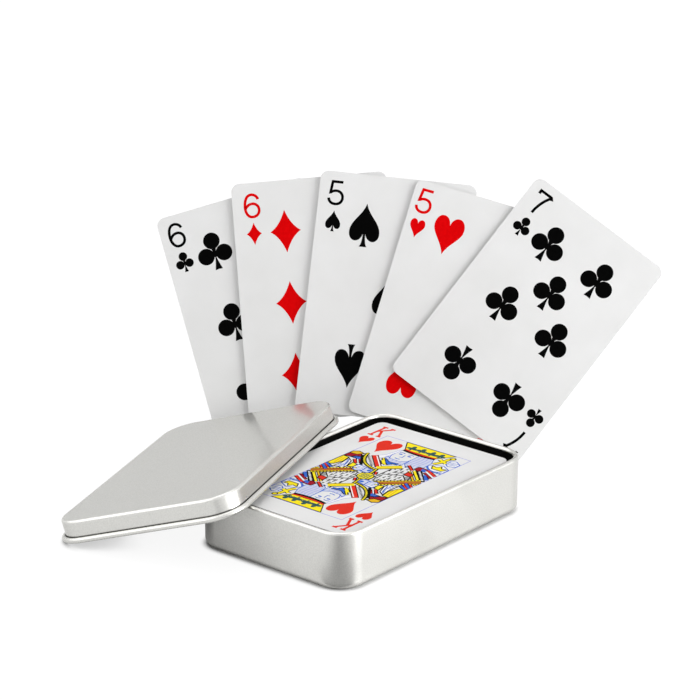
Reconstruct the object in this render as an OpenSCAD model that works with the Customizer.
// Playing card tin with a loose slip-on lid, a deck of 54 cards in bridge size,
// and a hand of five of its cards fanned out behind it.
// The origin is the middle of the tin's underside, +X runs along the tin's long side.

/* [Tin base] */
// Length of the tin outside
tin_l = 98.5; // [96:0.5:120]
// Width of the tin outside
tin_w = 65.5; // [65:0.5:85]
// Height of the open tin, rim included
tin_h = 20; // [19.6:0.2:30]
// Radius of the tin's upright corners outside
corner_r = 9.2; // [6:0.2:14]
// Thickness of the tinplate
sheet_t = 0.35; // [0.25:0.05:0.5]
// Radius of the edge between wall and underside
foot_r = 2.4; // [1.5:0.1:4]
// Diameter of the rim, which is rolled inwards
rim_d = 1.8; // [1.4:0.1:2.4]

/* [Lid] */
// Height of the lid, bead included
lid_h = 7.7; // [6:0.1:12]
// Slip clearance between the lid's skirt and the tin's wall, all round
lid_gap = 0.3; // [0.15:0.05:0.6]
// Radius of the edge between the lid's top and its skirt
crown_r = 1.1; // [0.8:0.1:2.5]
// Diameter of the bead, which is rolled outwards along the skirt's lower edge
bead_d = 1.9; // [1.4:0.1:2.4]

/* [Cards] */
// Length of a card
card_l = 88; // [80:0.5:89]
// Width of a card
card_w = 57; // [50:0.5:59]
// Radius of a card's corners
card_r = 3; // [2:0.25:5]
// Thickness of a card
card_t = 0.34; // [0.25:0.01:0.35]
// Air between two cards of the deck, which lie slightly bowed
card_air = 0.02; // [0.01:0.005:0.03]
// How far the cards of the deck are shuffled out of line
deck_slop = 0.4; // [0:0.1:1]
// How far the cards of the deck are turned out of line
deck_twist = 0.25; // [0:0.05:0.6]

/* [Lid as it leans on the tin] */
// Turn of the leaning lid against the tin, seen from above
lid_turn = 19.5; // [15:0.5:25]
// Where the lid's edge crosses the tin's far rim, from the middle of that side
lid_cross = 17.5; // [10:0.5:22]
// Length along the lid's edge from the middle of the lid to that crossing
lid_reach = 32; // [28:0.5:36]
// Gap where the lid rests on the rim and on the table
rest_gap = 0.08; // [0.05:0.01:0.2]

/* [Fan of cards] */
// Turn of the fan's plane against the tin, seen from above
fan_turn = -53.8; // [-60:0.2:-45]
// Angle by which the fan leans back from upright
fan_lean = 23.2; // [15:0.2:35]
// Distance of the fan's foot behind the tin's back corner
fan_behind = 10.8; // [9:0.2:20]
// Place of the fan's middle along its foot, from the tin's back corner
fan_aside = -8.8; // [-15:0.2:0]
// Gap between two neighbouring cards of the fan
fan_gap = 0.9; // [0.1:0.05:1.2]

/* [Hidden] */
$fn = 96;

rim_r = rim_d / 2;
bead_r = bead_d / 2;
full_turn = 360;

// The rolled edges are left open where their end comes back to the sheet
rim_open_from = 292;
bead_open_from = 118;
bead_open_to = 180;

suits = ["clubs", "diamonds", "hearts", "spades"];
ranks = ["king", "queen", "jack", "10", "9", "8", "7", "6", "5", "4", "3", "2", "ace"];
top_card = "card_king_of_hearts";

// One row for each card of the fan, from the back one to the front one: its name, then the place
// of its upper left corner across and up the fan's plane, then its clockwise turn
fan = [
    ["card_6_of_clubs", -78.9, 84.2, -17.9],
    ["card_6_of_diamonds", -51.6, 97.8, -6.5],
    ["card_5_of_spades", -18.4, 103.9, 4.6],
    ["card_5_of_hearts", 16.8, 101.4, 15.2],
    ["card_7_of_clubs", 60.5, 103.3, 35.9]
];
fan_names = [for (row = fan) row[0]];
function is_in(name, list) = len([for (entry = list) if (entry == name) 1]) > 0;
suit_names = [
    for (suit = suits)
        for (rank = ranks)
            let (name = str("card_", rank, "_of_", suit))
                if (name != top_card && !is_in(name, fan_names)) name
];
deck_names = concat(["card_joker_1", "card_joker_2"], suit_names);

// The deck lies on the tin's floor, one card above the other, with the ace of spades uppermost
card_pitch = card_t + card_air;
deck_z = sheet_t + card_air;
top_z = deck_z + len(deck_names) * card_pitch;

// The lid's rounded outline is the tin's one, moved out by the clearance and the sheet
skirt_out = lid_gap + sheet_t;
bead_mid = lid_gap + bead_r;

// The lid lies with one long bead on the table and the other on the tin's rim
lid_arm = tin_w / 2 + bead_mid;
lid_lean = asin(tin_h / (2 * lid_arm));
lid_z = tin_h / 2 + rest_gap + bead_r * (1 - cos(lid_lean));
lid_edge_y = bead_r * sin(lid_lean) - lid_arm * cos(lid_lean);
lid_x = lid_cross - lid_reach * cos(lid_turn) + lid_edge_y * sin(lid_turn);
lid_y = tin_w / 2 - rim_r - lid_reach * sin(lid_turn) - lid_edge_y * cos(lid_turn);

// The fan's foot lies behind the tin's back corner, its lowest card corner just clears the table
back_corner = [tin_l / 2 - corner_r, tin_w / 2 - corner_r];
fan_away = [-sin(fan_turn), cos(fan_turn)];
fan_along = [cos(fan_turn), sin(fan_turn)];
fan_foot = back_corner + (corner_r + fan_behind) * fan_away + fan_aside * fan_along;
fan_step = card_t + fan_gap;
function corner_up(row, across, down) = row[2] - across * sin(row[3]) - down * cos(row[3]);
function lowest(row) =
    min(corner_up(row, card_r, card_l - card_r), corner_up(row, card_w - card_r, card_l - card_r))
    - card_r;
fan_low = min([for (i = [0 : len(fan) - 1]) lowest(fan[i]) + i * fan_step * tan(fan_lean)]);
fan_up = rest_gap / cos(fan_lean) - fan_low;

module ring_part(radius, open_from, open_to) {
    reach = 2 * radius;
    middle = (open_from + open_to) / 2;
    difference() {
        circle(r = radius);
        circle(r = radius - sheet_t);
        polygon([
            [0, 0],
            reach * [cos(open_from), sin(open_from)],
            reach * [cos(middle), sin(middle)],
            reach * [cos(open_to), sin(open_to)]
        ]);
    }
}

module rounded_edge(outer_r) {
    intersection() {
        difference() {
            circle(r = outer_r);
            circle(r = outer_r - sheet_t);
        }
        square(outer_r);
    }
}

// Section of the base from the axis of its corner outwards: underside, foot, wall and rolled rim
module base_section() {
    square([corner_r - foot_r, sheet_t]);
    translate([corner_r - foot_r, foot_r]) mirror([0, 1]) rounded_edge(foot_r);
    translate([corner_r - sheet_t, foot_r]) square([sheet_t, tin_h - rim_r - foot_r]);
    translate([corner_r - rim_r, tin_h - rim_r]) ring_part(rim_r, rim_open_from, full_turn);
}

// Section of the lid from the axis of its corner outwards: top, crown, skirt and rolled bead
module lid_section() {
    skirt_r = corner_r + skirt_out;
    translate([0, lid_h - sheet_t]) square([skirt_r - crown_r, sheet_t]);
    translate([skirt_r - crown_r, lid_h - crown_r]) rounded_edge(crown_r);
    translate([skirt_r - sheet_t, bead_r]) square([sheet_t, lid_h - crown_r - bead_r]);
    translate([corner_r + bead_mid, bead_r]) ring_part(bead_r, bead_open_from, bead_open_to);
}

// Carries a section around the tin's rounded outline: a quarter turn at each corner and a straight
// run along each side
module around_tin() {
    run_l = tin_l - 2 * corner_r;
    run_w = tin_w - 2 * corner_r;
    for (side = [0, 1]) {
        rotate(180 * side) {
            translate([run_l / 2, run_w / 2]) rotate_extrude(angle = 90) children();
            translate([-run_l / 2, run_w / 2]) rotate(90) rotate_extrude(angle = 90) children();
            translate([run_l / 2, run_w / 2]) rotate([90, 0, 0]) linear_extrude(run_w) children();
            translate([-run_l / 2, run_w / 2]) rotate([90, 0, 90]) linear_extrude(run_l) children();
        }
    }
}

module middle_plate(height) {
    run_l = tin_l - 2 * corner_r;
    run_w = tin_w - 2 * corner_r;
    translate([-run_l / 2, -run_w / 2, height]) cube([run_l, run_w, sheet_t]);
}

module tin_base() {
    color("silver") {
        around_tin() base_section();
        middle_plate(0);
    }
}

module lid_body() {
    around_tin() lid_section();
    middle_plate(lid_h - sheet_t);
}

module tin_lid() {
    color("lightgray")
        translate([lid_x, lid_y, lid_z])
            rotate(lid_turn)
                rotate([-lid_lean, 0, 0])
                    lid_body();
}

// A card with its upper left corner at the origin, its face up and its length along -Y
module card() {
    linear_extrude(card_t) {
        translate([card_r, -card_l]) square([card_w - 2 * card_r, card_l]);
        translate([0, card_r - card_l]) square([card_w, card_l - 2 * card_r]);
        for (x = [card_r, card_w - card_r])
            for (y = [-card_r, card_r - card_l])
                translate([x, y]) circle(r = card_r);
    }
}

// A card of the deck, with its length along the tin's
module flat_card() {
    rotate(90) translate([-card_w / 2, card_l / 2]) card();
}

module deck_card(i) {
    along = deck_slop * sin(137 * i);
    across = deck_slop * cos(211 * i);
    twist = deck_twist * sin(71 * i);
    color("white")
        translate([along, across, deck_z + i * card_pitch])
            rotate(twist)
                flat_card();
}

module king_card() {
    color("ivory") translate([0, 0, top_z]) flat_card();
}

module fan_card(i) {
    color("white")
        translate([fan_foot[0], fan_foot[1], 0])
            rotate(fan_turn)
                rotate([90 - fan_lean, 0, 0])
                    translate([fan[i][1], fan[i][2] + fan_up, i * fan_step])
                        rotate(-fan[i][3])
                            card();
}

tin_base();
tin_lid();
king_card();
for (i = [0 : len(fan) - 1])
    fan_card(i);
for (i = [0 : len(deck_names) - 1])
    deck_card(i);
